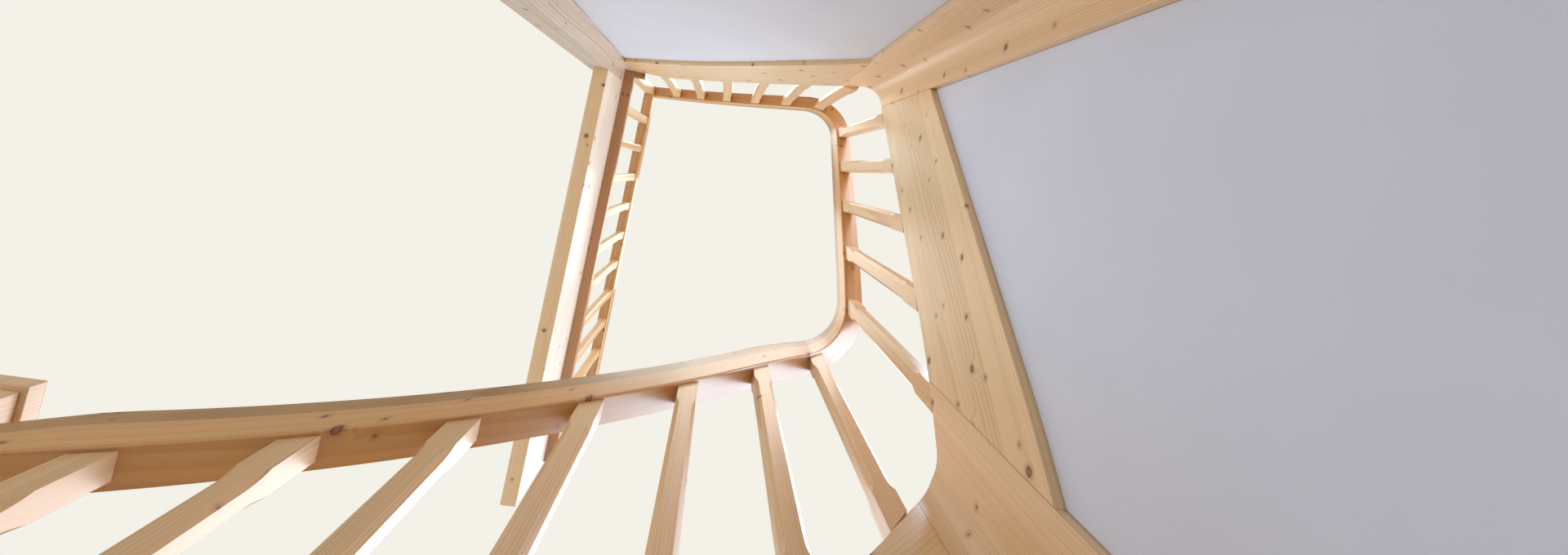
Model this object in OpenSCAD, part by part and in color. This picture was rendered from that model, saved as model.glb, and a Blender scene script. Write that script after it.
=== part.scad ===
// Half-turn winder staircase in glued softwood, climbing clockwise round an open rectangular well.
// Three flights, closed strings, rounded corner posts, a wreathed handrail with square balusters and
// a gallery railing along the upper floor. Millimetres, +Z up, origin on the lower floor under the
// middle of the whole stair. The flights run towards +X, then towards -Y, then towards -X.

/* [Storey] */

// height from the lower floor to the upper floor
storey_h = 2800; // [2500:10:3100]
// clear width of each flight between its strings
flight_w = 850; // [700:10:1000]
// width of the open well, across the second flight
well_w = 936; // [800:2:1200]
// length of the open well, along the second flight
well_l = 813; // [700:1:1100]
// radius of the two rounded posts at the corners of the well
well_r = 50; // [40:1:80]

/* [Strings and posts] */

// thickness of the strings and of the corner posts' legs
string_t = 45; // [32:1:60]
// height of the string top above the nosing line at the first rounded corner
string_up = 150; // [125:1:200]
// the same height past the second rounded corner
string_up_late = 180; // [150:1:210]
// the same height along the first flight
string_up_first = 90; // [80:5:120]
// upright depth of the inner strings at the first rounded corner
string_d = 400; // [380:5:450]
// upright depth of the inner string at the upper floor
string_d_late = 354; // [330:2:400]
// leg of the lower rounded post along the second flight
post_leg_lower = 140; // [120:1:200]
// leg of the upper rounded post along the third flight
post_leg_upper = 113; // [95:1:180]
// straight part of the lower rounded post along the flight that climbs to it
post_toe_lower = 2; // [0:1:40]
// straight part of the upper rounded post along the flight that climbs to it
post_toe_upper = 23; // [0:1:40]
// length of the landing post's well face along the gallery
landing_leg = 56; // [45:1:90]
// length of the landing post's well face along the third flight
landing_toe = 32; // [15:1:60]
// width of the landing post behind its well face
landing_w = 92; // [75:1:120]
// height of the wall strings above the nosing line
wall_up = 60; // [40:5:120]
// depth of the wall strings below the nosing line
wall_down = 250; // [230:5:320]

/* [Steps] */

// thickness of the treads
tread_t = 40; // [30:1:50]
// length of the string line before the first rounded corner
first_run = 1120; // [1050:5:1200]
// overhang of each tread in front of its riser
nosing = 30; // [15:1:45]
// thickness of the risers
riser_t = 18; // [12:1:25]
// slope of the string line at the first step
pitch_start = 0.40; // [0.36:0.02:0.8]
// slope of the string line towards the end of the first flight
pitch_rise = 1.08; // [0.6:0.02:1.2]
// slope of the string line round the first corner
pitch_turn = 0.68; // [0.6:0.02:1.2]
// slope of the string line from the second flight round the second corner
pitch_steep = 1.12; // [0.8:0.01:1.4]
// slope of the string line at the upper floor
pitch_top = 0.78; // [0.5:0.02:1.1]

/* [Railing] */

// width of the handrail
rail_w = 55; // [40:1:70]
// depth of the handrail, square to its slope
rail_h = 106; // [92:1:120]
// height of the glue line on the handrail's well side, where it starts to lean back
rail_line = 58; // [50:1:70]
// rounding of the handrail's lower arris on the well side
rail_ease = 5; // [2:1:8]
// distance by which the handrail stands into the well from the balusters
rail_in = 7; // [0:1:15]
// radius of the handrail's line over the rounded posts
rail_r = 122; // [100:1:140]
// height of the handrail's underside above the nosing line
rail_up = 845; // [780:5:950]
// width of a baluster along the rail
baluster_w = 40; // [30:1:50]
// width of a baluster across the rail
baluster_d = 36; // [28:1:42]
// leg of the stopped chamfer along each arris of a baluster
chamfer = 7.5; // [3:0.5:9]
// length over which each chamfer runs out
chamfer_stop = 38; // [20:1:60]
// length of the square blocks at the baluster ends
block_h = 72; // [50:1:120]
// distance from the first rounded post to the nearest baluster of the first flight
first_baluster = 50; // [30:1:65]
// spacing of the balusters on the first flight
lower_step = 168.5; // [120:0.5:172]
// distance from a rounded post to the nearest balusters of the second flight
middle_baluster = 65; // [50:1:90]
// spacing of the balusters on the third flight
upper_step = 142.5; // [110:0.5:146]
// straight length at the end of each wreathed rail piece
wreath_leg = 40; // [30:5:60]
// straight length of the lower wreath along the second flight
wreath_tail = 143; // [100:1:180]
// side of the newel at the foot of the stair
newel_w = 90; // [80:1:120]
// distance from the first nosing to the foot newel
newel_gap = 96; // [40:1:120]
// height of the underside of the newel cap above the upper face of the rail
newel_up = 23; // [10:1:80]
// thickness of the newel cap
newel_cap_t = 22; // [15:1:40]
// overhang of the newel cap
newel_cap_over = 7; // [3:1:15]
// hairline gap between a baluster and what it meets
fit_gap = 0.3; // [0.2:0.05:0.5]

/* [Gallery] */

// depth of the fascia board under the gallery capping
fascia_d = 321; // [280:1:400]
// thickness of the fascia board
fascia_t = 57; // [40:1:70]
// setback of the fascia's face from the side of the well
gallery_back = 22; // [10:1:30]
// height of the underside of the capping above the upper floor
cap_up = 37; // [10:1:60]
// thickness of the capping
cap_t = 35; // [20:1:45]
// overhang of the capping in front of the fascia
cap_over = 43; // [25:1:60]
// width of the landing board behind the last riser
landing_board = 120; // [80:5:200]
// spacing of the gallery balusters
gallery_step = 168; // [110:1:170]

/* [Panels] */

// thickness of the plastered panels below the strings
panel_t = 30; // [12:1:30]
// setback of the plaster from the face of the strings
panel_back = 15; // [5:1:15]

/* [Hidden] */

$fn = 96;
riser_n = 16;
riser_h = storey_h / riser_n;
hx = well_w / 2;
hy = well_l / 2;
arc = well_r * PI / 2;
out_x = hx + string_t + flight_w;
out_y = hy + string_t + flight_w;

// stations along the well face, counted from the start of the first rounded corner
s_two = arc;
s_two_end = arc + 2 * hy - 2 * well_r;
s_three = s_two_end + arc;
s_end = s_three + hx - well_r + hx - nosing;
s_start = -first_run;
s_newel = s_start - newel_gap - newel_w / 2;
gx = hx + gallery_back;
lead = rail_r - well_r;

// slope of the string line at six stations, each [station, slope]
pitches = [
  [s_start, pitch_start],
  [-230, pitch_rise],
  [s_two / 2, pitch_turn],
  [s_two + 200, pitch_steep],
  [s_three + 250, pitch_steep],
  [s_end, pitch_top]
];

function pitch(s) = lookup(s, pitches);

function part_rise(s, i) =
  let (
    a = pitches[i],
    b = pitches[i + 1],
    u = min(max(s, a[0]), b[0]) - a[0]
  )
  a[1] * u + (b[1] - a[1]) / (b[0] - a[0]) * u * u / 2;

function raw_rise(s) =
  part_rise(s, 0) + part_rise(s, 1) + part_rise(s, 2) + part_rise(s, 3) + part_rise(s, 4)
  + min(s - s_start, 0) * pitch_start + max(s - s_end, 0) * pitch_top;

rise_scale = (storey_h - riser_h) / raw_rise(s_end);

// height of the nosing line at a station
function nose_z(s) = riser_h + raw_rise(s) * rise_scale;

// station at which the nosing line passes a height, found by halving the interval
function station(z, a = s_start - 50, b = s_end + 50, n = 40) =
  n == 0 ? (a + b) / 2
  : nose_z((a + b) / 2) < z ? station(z, (a + b) / 2, b, n - 1)
  : station(z, a, (a + b) / 2, n - 1);

// turn of the path at a station, in degrees from the first flight
function turn(s) =
  s < 0 ? 0
  : s < s_two ? s / arc * 90
  : s < s_two_end ? 90
  : s < s_three ? 90 + (s - s_two_end) / arc * 90
  : 180;

// point at a station, a distance outward from the well face
function at(s, off) =
  s < 0 ? [hx - well_r + s, hy + off]
  : s < s_two ? [hx - well_r + (well_r + off) * sin(turn(s)), hy - well_r + (well_r + off) * cos(turn(s))]
  : s < s_two_end ? [hx + off, hy - well_r - (s - s_two)]
  : s < s_three ? [hx - well_r + (well_r + off) * sin(turn(s)), -hy + well_r + (well_r + off) * cos(turn(s))]
  : [hx - well_r - (s - s_three), -hy - off];

// how far along its rounded corner the handrail's line is, in degrees
function rail_turn(s) =
  s < -lead ? 0
  : s < s_two + lead ? (s + lead) / (arc + 2 * lead) * 90
  : s < s_two_end - lead ? 90
  : s < s_three + lead ? 90 + (s - s_two_end + lead) / (arc + 2 * lead) * 90
  : 180;

// point of the handrail's line at a station, which rounds the posts more widely than their face
function rail_at(s, off) =
  let (t = rail_turn(s), k = hy - rail_r)
  t > 0 && t < 90 ? [hx - rail_r + (rail_r + off) * sin(t), k + (rail_r + off) * cos(t)]
  : t > 90 && t < 180 ? [hx - rail_r + (rail_r + off) * sin(t), -k + (rail_r + off) * cos(t)]
  : at(s, off);

function steps_from(a, b, step) =
  let (n = max(1, ceil((b - a) / step)))
  [for (i = [0:n]) a + (b - a) * i / n];

cap_z = storey_h + cap_up;
function string_rise(s) =
  lookup(s, [
    [-110, string_up_first],
    [s_two / 2, string_up],
    [s_three + 130, string_up_late],
    [s_end, string_up]
  ]);
function string_depth(s) =
  lookup(s, [[s_two, string_d], [s_three + 30, string_d + 25], [s_three + 530, string_d_late]]);
function string_top(s) = min(nose_z(s) + string_rise(s), cap_z);
function string_low(s) = max(nose_z(s) + string_rise(s) - string_depth(s), 0);
function rail_low(s) = nose_z(s) + rail_up;
gallery_rail_z = storey_h + rail_up;

// walking line in the middle of the flights, as long as the sum of the goings
walk_off = string_t + flight_w / 2;
walk_arc = (well_r + walk_off) * PI / 2;
walk_one = -s_start;
walk_two = s_two_end - s_two;
walk_all = walk_one + walk_arc + walk_two + walk_arc + (s_end - s_three);
going = walk_all / (riser_n - 1);

function walk_station(t) =
  t < walk_one ? s_start + t
  : t < walk_one + walk_arc ? (t - walk_one) / walk_arc * arc
  : t < walk_one + walk_arc + walk_two ? s_two + t - walk_one - walk_arc
  : t < walk_all - (s_end - s_three) ? s_two_end + (t - walk_one - walk_arc - walk_two) / walk_arc * arc
  : s_end - (walk_all - t);

// nosing line of each step: a point at the well face, the way outward and the way forward
line_in = [for (k = [1:riser_n]) at(station(k * riser_h), 0)];
line_out = [for (k = [1:riser_n]) at(walk_station((k - 1) * going), walk_off)];
way_out = [for (k = [0:riser_n - 1]) (line_out[k] - line_in[k]) / norm(line_out[k] - line_in[k])];
way_on = [for (d = way_out) [d[1], -d[0]]];

function line_at(k, back, reach) = line_in[k - 1] + way_on[k - 1] * back + way_out[k - 1] * reach;

// where a nosing line meets the wall, as a length along the wall from the first outer corner
function wall_hit(k) =
  let (
    p = line_in[k - 1],
    d = way_out[k - 1],
    x_one = p[0] + d[0] * (out_y - p[1]) / (d[1] > 0.01 ? d[1] : 0.01),
    y_two = p[1] + d[1] * (out_x - p[0]) / (d[0] > 0.01 ? d[0] : 0.01),
    x_three = p[0] + d[0] * (-out_y - p[1]) / (d[1] < -0.01 ? d[1] : -0.01)
  )
  d[1] > 0.01 && x_one <= out_x ? x_one - out_x
  : d[0] > 0.01 && abs(y_two) <= out_y ? out_y - y_two
  : 2 * out_y + out_x - x_three;

wall_line = [for (k = [1:riser_n]) [wall_hit(k), k * riser_h]];
wall_start = wall_line[0][0];

// middle of the stair between the foot newel and the wall behind the second flight
mid_x = (hx - well_r + s_newel - newel_w / 2 - newel_cap_over + out_x + string_t) / 2;
wall_end = 2 * out_y + out_x + hx + riser_t;

// Shapes

module flight_plan() {
  difference() {
    translate([-2 * hx - 1500, -out_y])
      square([2 * hx + 1500 + out_x, 2 * out_y]);
    translate([-hx - string_t - 2000, -hy - string_t])
      square([2 * hx + 2 * string_t + 2000, 2 * hy + 2 * string_t]);
  }
}

// strip of the flights between two nosing lines, each moved back by its own distance
module strip(k, back_k, j, back_j) {
  intersection() {
    polygon([
      line_at(k, back_k, -80),
      line_at(k, back_k, 2200),
      line_at(j, back_j, 2200),
      line_at(j, back_j, -80)
    ]);
    flight_plan();
  }
}

module tread(k) {
  color("#d9b784")
    translate([0, 0, k * riser_h - tread_t])
      linear_extrude(tread_t)
        strip(k, 0, k + 1, nosing + riser_t);
}

module risers() {
  color("#d2b48c")
    for (k = [1:riser_n])
      translate([0, 0, (k - 1) * riser_h])
        linear_extrude(riser_h - tread_t)
          strip(k, nosing, k, nosing + riser_t);
}

// upright board outline from station a to b, given the way its stations map to the drawing
function board(a, b, x0, sign) =
  let (n = steps_from(a, b, 30))
  concat(
    [for (s = n) [x0 + sign * s, string_top(s)]],
    [for (i = [len(n) - 1:-1:0]) [x0 + sign * n[i], string_low(n[i])]]
  );

function under(a, b, x0, sign) =
  let (n = steps_from(a, b, 30))
  concat(
    [[x0 + sign * b, 0], [x0 + sign * a, 0]],
    [for (s = n) [x0 + sign * s, string_low(s)]]
  );

x_one = hx - well_r;
y_two = hy - well_r + s_two;
x_three = hx - well_r + s_three;
s_post_one = s_two + post_leg_lower - well_r;
s_post_two = s_three + post_leg_upper - well_r;
s_post_top = s_three + hx - well_r + gx - landing_toe;

module string_lower() {
  color("#d9b784")
    translate([0, hy + string_t, 0])
      rotate([90, 0, 0])
        linear_extrude(string_t)
          polygon(board(s_newel + newel_w / 2, -post_toe_lower, x_one, 1));
}

module string_middle() {
  color("#d9b784")
    translate([hx, 0, 0])
      rotate([90, 0, 90])
        linear_extrude(string_t)
          polygon(board(s_post_one, s_two_end - post_toe_upper, y_two, -1));
}

module string_upper() {
  color("#d9b784")
    translate([0, -hy, 0])
      rotate([90, 0, 0])
        linear_extrude(string_t)
          polygon(board(s_post_two, s_post_top, x_three, -1));
}

// solid that follows the string top round a corner, to crown a post
module crown(a, b) {
  n = 2 * ceil((b - a) / 24);
  st = [for (i = [0:n]) a + (b - a) * i / n];
  pts = [for (s = st) for (c = [[-30, -10], [string_t + 60, -10], [string_t + 60, 1], [-30, 1]])
    let (p = at(s, c[0])) [p[0], p[1], c[1] < 0 ? -10 : string_top(s)]];
  sides = [for (i = [0:n - 1]) for (j = [0:3])
    let (p = 4 * i + j, q = 4 * i + (j + 1) % 4)
    each [[q, p, p + 4], [q, p + 4, q + 4]]];
  polyhedron(pts, concat([[0, 1, 2, 3]], sides, [[4 * n + 3, 4 * n + 2, 4 * n + 1, 4 * n]]));
}

module well_plan() {
  intersection() {
    square([well_w, well_l], center = true);
    union() {
      translate([-well_w, -well_l])
        square([well_w, 2 * well_l]);
      translate([0, -hy + well_r])
        square([hx, 2 * hy - 2 * well_r]);
      square([2 * (hx - well_r), well_l], center = true);
      for (m = [0, 1])
        mirror([0, m])
          translate([hx - well_r, hy - well_r])
            circle(well_r);
    }
  }
}

module corner_post_lower() {
  color("#c9a070")
    intersection() {
      linear_extrude(storey_h + 500)
        difference() {
          translate([hx - well_r - post_toe_lower, hy - post_leg_lower])
            square([well_r + post_toe_lower + string_t, post_leg_lower + string_t]);
          well_plan();
        }
      crown(-post_toe_lower - 1, s_post_one + 1);
    }
}

module corner_post_upper() {
  color("#c9a070")
    intersection() {
      linear_extrude(storey_h + 500)
        difference() {
          translate([hx - post_leg_upper, -hy - string_t])
            square([post_leg_upper + string_t, well_r + post_toe_upper + string_t]);
          well_plan();
        }
      crown(s_two_end - post_toe_upper - 1, s_post_two + 1);
    }
}

module landing_post() {
  color("#e4d8c4")
    linear_extrude(cap_z)
      difference() {
        translate([-gx - landing_w, -hy - string_t])
          square([landing_w + landing_toe, string_t + landing_leg]);
        translate([-gx, -hy])
          square([well_w, well_l]);
      }
}

newel_top = rail_low(s_newel + newel_w / 2) + rail_h + newel_up;

module newel_prism(z, h, over) {
  w = newel_w + 2 * over;
  translate([x_one + s_newel - w / 2, hy + string_t / 2 - w / 2, z])
    cube([w, w, h]);
}

module start_newel() {
  color("#d2b48c")
    newel_prism(0, newel_top, 0);
}

module newel_cap() {
  color("#d2b48c")
    newel_prism(newel_top, newel_cap_t, newel_cap_over);
}

// Wall strings

function wall_nose(u) = lookup(u, wall_line);

function wall_board(a, b, x0, sign) =
  let (n = steps_from(a, b, 60))
  concat(
    [for (u = n) [x0 + sign * u, wall_nose(u) + wall_up]],
    [for (i = [len(n) - 1:-1:0]) [x0 + sign * n[i], max(wall_nose(n[i]) - wall_down, 0)]]
  );

module wall_string_lower() {
  color("#d2b48c")
    translate([0, out_y + string_t, 0])
      rotate([90, 0, 0])
        linear_extrude(string_t)
          polygon(wall_board(wall_start - nosing, string_t, out_x, 1));
}

module wall_string_middle() {
  color("#d2b48c")
    translate([out_x, 0, 0])
      rotate([90, 0, 90])
        linear_extrude(string_t)
          polygon(wall_board(0, 2 * out_y, out_y, -1));
}

module wall_string_upper() {
  color("#d2b48c")
    translate([0, -out_y, 0])
      rotate([90, 0, 0])
        linear_extrude(string_t)
          polygon(wall_board(2 * out_y - string_t, wall_end, out_x + 2 * out_y, -1));
}

// Plastered panels below the strings

module panel_lower() {
  color("#c8c6c8")
    translate([0, hy + panel_back + panel_t, 0])
      rotate([90, 0, 0])
        linear_extrude(panel_t)
          polygon(under(station(string_d - string_up_first) + 20, -post_toe_lower, x_one, 1));
}

module panel_middle() {
  color("#c8c6c8")
    translate([hx + panel_back, 0, 0])
      rotate([90, 0, 90])
        linear_extrude(panel_t)
          polygon(under(s_post_one, s_two_end - post_toe_upper, y_two, -1));
}

module panel_upper() {
  color("#dde2ee")
    translate([0, -hy - panel_back, 0])
      rotate([90, 0, 0])
        linear_extrude(panel_t)
          polygon(under(s_post_two, s_post_top, x_three, -1));
}

// Handrail: its section follows the path, upright, and deepens with the slope.
// The section is given as distance from its well side and height above its underside.

rail_shape = [
  [rail_ease, 0],
  [0, rail_ease],
  [0, rail_line],
  [2, rail_h - 12],
  [6, rail_h - 4],
  [15, rail_h],
  [rail_w - 15, rail_h],
  [rail_w - 6, rail_h - 4],
  [rail_w - 2, rail_h - 12],
  [rail_w, rail_line],
  [rail_w, 0]
];

function rail_section(s) =
  let (k = sqrt(1 + pitch(s) * pitch(s)))
  [for (c = rail_shape) [c[0] - rail_in, k * c[1]]];

module rail(a, b, step) {
  st = steps_from(a, b, step);
  n = len(st);
  pts = [for (s = st) for (c = rail_section(s))
    let (p = rail_at(s, c[0])) [p[0], p[1], rail_low(s) + c[1]]];
  m = len(rail_shape);
  sides = [for (i = [0:n - 2]) for (j = [0:m - 1])
    let (p = m * i + j, q = m * i + (j + 1) % m)
    each [[p, q + m, p + m], [p, q, q + m]]];
  color("#d0a26c")
    polyhedron(
      pts,
      concat([[for (j = [m - 1:-1:0]) j]], sides, [[for (j = [0:m - 1]) m * (n - 1) + j]])
    );
}

rail_one = -lead - wreath_leg;
rail_join = s_two + lead + wreath_tail;
rail_two = s_two_end - lead - wreath_leg;
rail_three = s_three + lead + wreath_leg;

module handrail_lower() {
  rail(s_newel + newel_w / 2, rail_one, 55);
}

module handrail_wreath_lower() {
  rail(rail_one, rail_join, 8);
}

module handrail_middle() {
  rail(rail_join, rail_two, 55);
}

module handrail_wreath_upper() {
  rail(rail_two, rail_three, 8);
}

module handrail_upper() {
  rail(rail_three, s_three + hx - well_r + hx - rail_in, 55);
}

module handrail_gallery() {
  color("#d0a26c")
    translate([-hx + rail_in - rail_w, 0, gallery_rail_z])
      rotate([90, 0, 0])
        translate([0, 0, -out_y])
          linear_extrude(out_y + hy + rail_w - rail_in)
            polygon([for (c = rail_shape) [rail_w - c[0], c[1]]]);
}

// Balusters

// distance of a chamfer plane from the middle of a baluster, over its height
function chamfer_at(z, top) =
  let (
    corner = (baluster_w + baluster_d) / 2,
    u = (min(z, top - z) - block_h) / chamfer_stop
  )
  (u <= 0 ? corner + 1 : corner - chamfer * (1 - pow(1 - min(u, 1), 2))) / sqrt(2);

function chamfer_profile(top) =
  let (
    ends = [for (i = [0:4]) block_h + chamfer_stop * i / 4],
    zs = concat([-90], ends, [for (i = [4:-1:0]) top - ends[i]], [top + 90])
  )
  concat(
    [for (z = zs) [chamfer_at(z, top), z]],
    [for (i = [len(zs) - 1:-1:0]) [-chamfer_at(zs[i], top), zs[i]]]
  );

// prism that takes the chamfers off two opposite arrises of a baluster
module chamfers(direction, top) {
  translate([0, baluster_d / 2, 0])
    rotate([0, 0, direction])
      rotate([90, 0, 0])
        linear_extrude(2 * baluster_w, center = true)
          polygon(chamfer_profile(top));
}

// one baluster from z = 0 up, its ends cut to the slopes they meet, each with some length to spare
module baluster(top, foot_pitch, head_pitch, spare) {
  half = baluster_w / 2;
  foot = half * foot_pitch;
  head = half * head_pitch;
  intersection() {
    translate([0, baluster_d, 0])
      rotate([90, 0, 0])
        linear_extrude(baluster_d)
          polygon([
            [-half, -foot - spare],
            [half, foot - spare],
            [half, top + head + spare],
            [-half, top - head + spare]
          ]);
    chamfers(45, top);
    chamfers(-45, top);
  }
}

module baluster_at(s, spare) {
  p = rail_at(s, 0);
  foot = string_top(s) + fit_gap;
  translate([p[0], p[1], foot])
    rotate([0, 0, -rail_turn(s)])
      baluster(
        rail_low(s) - fit_gap - foot,
        (string_top(s + 5) - string_top(s - 5)) / 10,
        (rail_low(s + 5) - rail_low(s - 5)) / 10,
        spare
      );
}

// room below the handrail round a corner, a hairline short of it
module below_rail(a, b) {
  n = ceil((b - a) / 12);
  pts = [for (i = [0:n]) for (c = [[-10, 0], [baluster_d + 10, 0], [baluster_d + 10, 1], [-10, 1]])
    let (s = a + (b - a) * i / n, p = rail_at(s, c[0]))
    [p[0], p[1], c[1] == 0 ? 0 : rail_low(s) - fit_gap]];
  sides = [for (i = [0:n - 1]) for (j = [0:3])
    let (p = 4 * i + j, q = 4 * i + (j + 1) % 4)
    each [[q, p, p + 4], [q, p + 4, q + 4]]];
  polyhedron(pts, concat([[0, 1, 2, 3]], sides, [[4 * n + 3, 4 * n + 2, 4 * n + 1, 4 * n]]));
}

// baluster near a rounded corner, cut to the curved faces of the post and the handrail
module corner_baluster(s) {
  intersection() {
    difference() {
      baluster_at(s, 40);
      translate([0, 0, fit_gap])
        crown(s - 90, s + 90);
    }
    below_rail(s - 60, s + 60);
  }
}

module balusters_lower() {
  color("#d9b98c") {
    corner_baluster(-first_baluster);
    for (i = [1:6])
      baluster_at(-first_baluster - lower_step * i, 0);
  }
}

module balusters_middle() {
  a = s_two + middle_baluster;
  b = s_two_end - middle_baluster;
  color("#d9b98c") {
    corner_baluster(a);
    for (i = [1:3])
      baluster_at(a + (b - a) * i / 4, 0);
    corner_baluster(b);
  }
}

module balusters_upper() {
  a = s_three + baluster_w / 2;
  color("#d9b98c") {
    corner_baluster(a);
    for (i = [1:5])
      baluster_at(a + upper_step * i, 0);
  }
}

module balusters_gallery() {
  foot = cap_z + cap_t + fit_gap;
  color("#d9b98c")
    for (y = [-hy + gallery_step - 8:gallery_step:out_y - 60])
      translate([-hx, y, foot])
        rotate([0, 0, 90])
          baluster(gallery_rail_z - fit_gap - foot, 0, 0, 0);
}

// Gallery

module gallery_newel() {
  color("#e4d0ac")
    translate([-hx - string_t, -hy - string_t, cap_z + cap_t])
      cube([string_t, string_t, gallery_rail_z - cap_z - cap_t]);
}

module gallery_fascia() {
  color("#eadfcd")
    translate([-gx - fascia_t, -hy + landing_leg, cap_z - fascia_d])
      cube([fascia_t, out_y + hy - landing_leg, fascia_d]);
}

module gallery_capping() {
  color("#b98a58")
    translate([0, 0, cap_z])
      linear_extrude(cap_t)
        difference() {
          translate([-gx - landing_w, -hy - string_t])
            square([landing_w + gallery_back + 68, out_y + hy + string_t]);
          translate([-gx + cap_over, -hy + 25])
            square([well_w, out_y + hy]);
        }
}

module landing_trimmer() {
  color("#d2b48c")
    translate([-hx - riser_t - string_t, -out_y, cap_z - fascia_d])
      cube([string_t, flight_w, storey_h - tread_t - cap_z + fascia_d]);
}

module landing_nosing() {
  color("#d9b784")
    translate([-hx - landing_board, -out_y, storey_h - tread_t])
      cube([landing_board + nosing, flight_w, tread_t]);
}

module placed() {
  translate([-mid_x, 0, 0])
    children();
}

placed() string_lower();
placed() string_middle();
placed() string_upper();
placed() corner_post_lower();
placed() corner_post_upper();
placed() landing_post();
placed() start_newel();
placed() newel_cap();
placed() wall_string_lower();
placed() wall_string_middle();
placed() wall_string_upper();
placed() tread(1);  // tread_01
placed() tread(2);  // tread_02
placed() tread(3);  // tread_03
placed() tread(4);  // tread_04
placed() tread(5);  // tread_05
placed() tread(6);  // tread_06
placed() tread(7);  // tread_07
placed() tread(8);  // tread_08
placed() tread(9);  // tread_09
placed() tread(10);  // tread_10
placed() tread(11);  // tread_11
placed() tread(12);  // tread_12
placed() tread(13);  // tread_13
placed() tread(14);  // tread_14
placed() tread(15);  // tread_15
placed() risers();
placed() panel_lower();
placed() panel_middle();
placed() panel_upper();
placed() handrail_lower();
placed() handrail_wreath_lower();
placed() handrail_middle();
placed() handrail_wreath_upper();
placed() handrail_upper();
placed() handrail_gallery();
placed() balusters_lower();
placed() balusters_middle();
placed() balusters_upper();
placed() balusters_gallery();
placed() gallery_newel();
placed() gallery_fascia();
placed() gallery_capping();
placed() landing_trimmer();
placed() landing_nosing();
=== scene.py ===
# %% [markdown]
# # Half-turn winder staircase
# The stair is softwood throughout: glued spruce boards with a satin lacquer, over plastered
# panels. The imported CAD frame is loaded first.

# %% Load the frame
from functools import partial
from math import ceil, cos, pi, radians, sin, sqrt

import bmesh
import bpy
import numpy as np
from mathutils import Euler, Matrix, Vector


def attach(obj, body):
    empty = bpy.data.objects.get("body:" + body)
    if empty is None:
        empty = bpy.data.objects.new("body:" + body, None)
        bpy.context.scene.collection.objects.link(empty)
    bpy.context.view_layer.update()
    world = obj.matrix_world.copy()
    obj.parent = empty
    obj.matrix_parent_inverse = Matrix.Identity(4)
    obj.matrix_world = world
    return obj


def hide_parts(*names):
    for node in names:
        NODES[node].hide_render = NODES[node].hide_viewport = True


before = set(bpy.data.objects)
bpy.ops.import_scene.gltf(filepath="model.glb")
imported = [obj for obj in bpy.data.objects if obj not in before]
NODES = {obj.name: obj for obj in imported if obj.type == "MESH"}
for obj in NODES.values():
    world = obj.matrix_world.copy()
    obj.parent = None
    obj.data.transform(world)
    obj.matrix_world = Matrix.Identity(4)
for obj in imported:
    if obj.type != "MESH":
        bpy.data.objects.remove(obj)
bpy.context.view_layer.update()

# %% [markdown]
# ## Camera
# The photograph looks straight up the well from just above the lower floor, through a wide lens.
# Its principal point lies above the middle of the picture, which the shift takes up.

# %% Place the camera
PHOTO_W, PHOTO_H = 1920, 680
FOCAL_PIXELS = 690
CENTRE_ROW = 165
camera = bpy.data.objects.new("camera", bpy.data.cameras.new("camera"))
bpy.context.scene.collection.objects.link(camera)
camera.location = (-0.2425, -0.0535, 0.28)
camera.rotation_euler = Euler([radians(a) for a in (-176.5995, 6.2745, -10.5312)])
camera.data.sensor_width = 36
camera.data.lens = camera.data.sensor_width * FOCAL_PIXELS / PHOTO_W
camera.data.shift_y = -(PHOTO_H / 2 - CENTRE_ROW) / PHOTO_W
camera.data.clip_start = 0.02
bpy.context.scene.camera = camera
print("camera at", tuple(camera.location))

# %% [markdown]
# ## The stair's line
# Strings, handrail and balusters all follow one line round the well, so its formulas come first. A
# station is the distance along the well's face from the start of the first rounded corner, and the
# slope changes gently from one station to the next. The values are those of the CAD, in metres.
# The middle of the well lies MID_X behind the origin.

# %% Sizes of the stair's line
STOREY = 2.8
RISER = STOREY / 16
NOSING = 0.030
STRING_T = 0.045
FLIGHT_W = 0.850
HALF_X = 0.936 / 2
HALF_Y = 0.813 / 2
OUT_Y = HALF_Y + STRING_T + FLIGHT_W
POST_R = 0.050
RAIL_R = 0.122
LEAD = RAIL_R - POST_R
ARC = POST_R * pi / 2
S_START = -1.120
S_TWO = ARC
S_TWO_END = ARC + 2 * HALF_Y - 2 * POST_R
S_THREE = S_TWO_END + ARC
S_END = S_THREE + 2 * HALF_X - POST_R - NOSING
NEWEL_W = 0.090
NEWEL_GAP = 0.096
S_NEWEL = S_START - NEWEL_GAP - NEWEL_W / 2
RAIL_UP = 0.845
CAP_UP = 0.037
CAP_Z = STOREY + CAP_UP
CAP_T = 0.035
FIT_GAP = 0.0003
MID_X = 0.2565
PITCHES = [
    (S_START, 0.40),
    (-0.230, 1.08),
    (S_TWO / 2, 0.68),
    (S_TWO + 0.200, 1.12),
    (S_THREE + 0.250, 1.12),
    (S_END, 0.78),
]
STRING_RISE = [(-0.110, 0.090), (S_TWO / 2, 0.150), (S_THREE + 0.130, 0.180), (S_END, 0.150)]
print("stations from", round(S_START, 3), "to", round(S_END, 3))


# %% Height along the line
def between(s, table):
    """Value at a station, from a table of stations and values."""
    return float(np.interp(s, [row[0] for row in table], [row[1] for row in table]))


def raw_rise(s):
    """Area under the slopes up to a station."""
    knots = [S_START] + [k for k, _ in PITCHES[1:-1] if k < s] + [min(s, S_END)]
    steps = zip(knots, knots[1:])
    total = sum((b - a) * (between(a, PITCHES) + between(b, PITCHES)) / 2 for a, b in steps)
    return total + min(s - S_START, 0) * PITCHES[0][1] + max(s - S_END, 0) * PITCHES[-1][1]


RISE_SCALE = (STOREY - RISER) / raw_rise(S_END)


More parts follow.
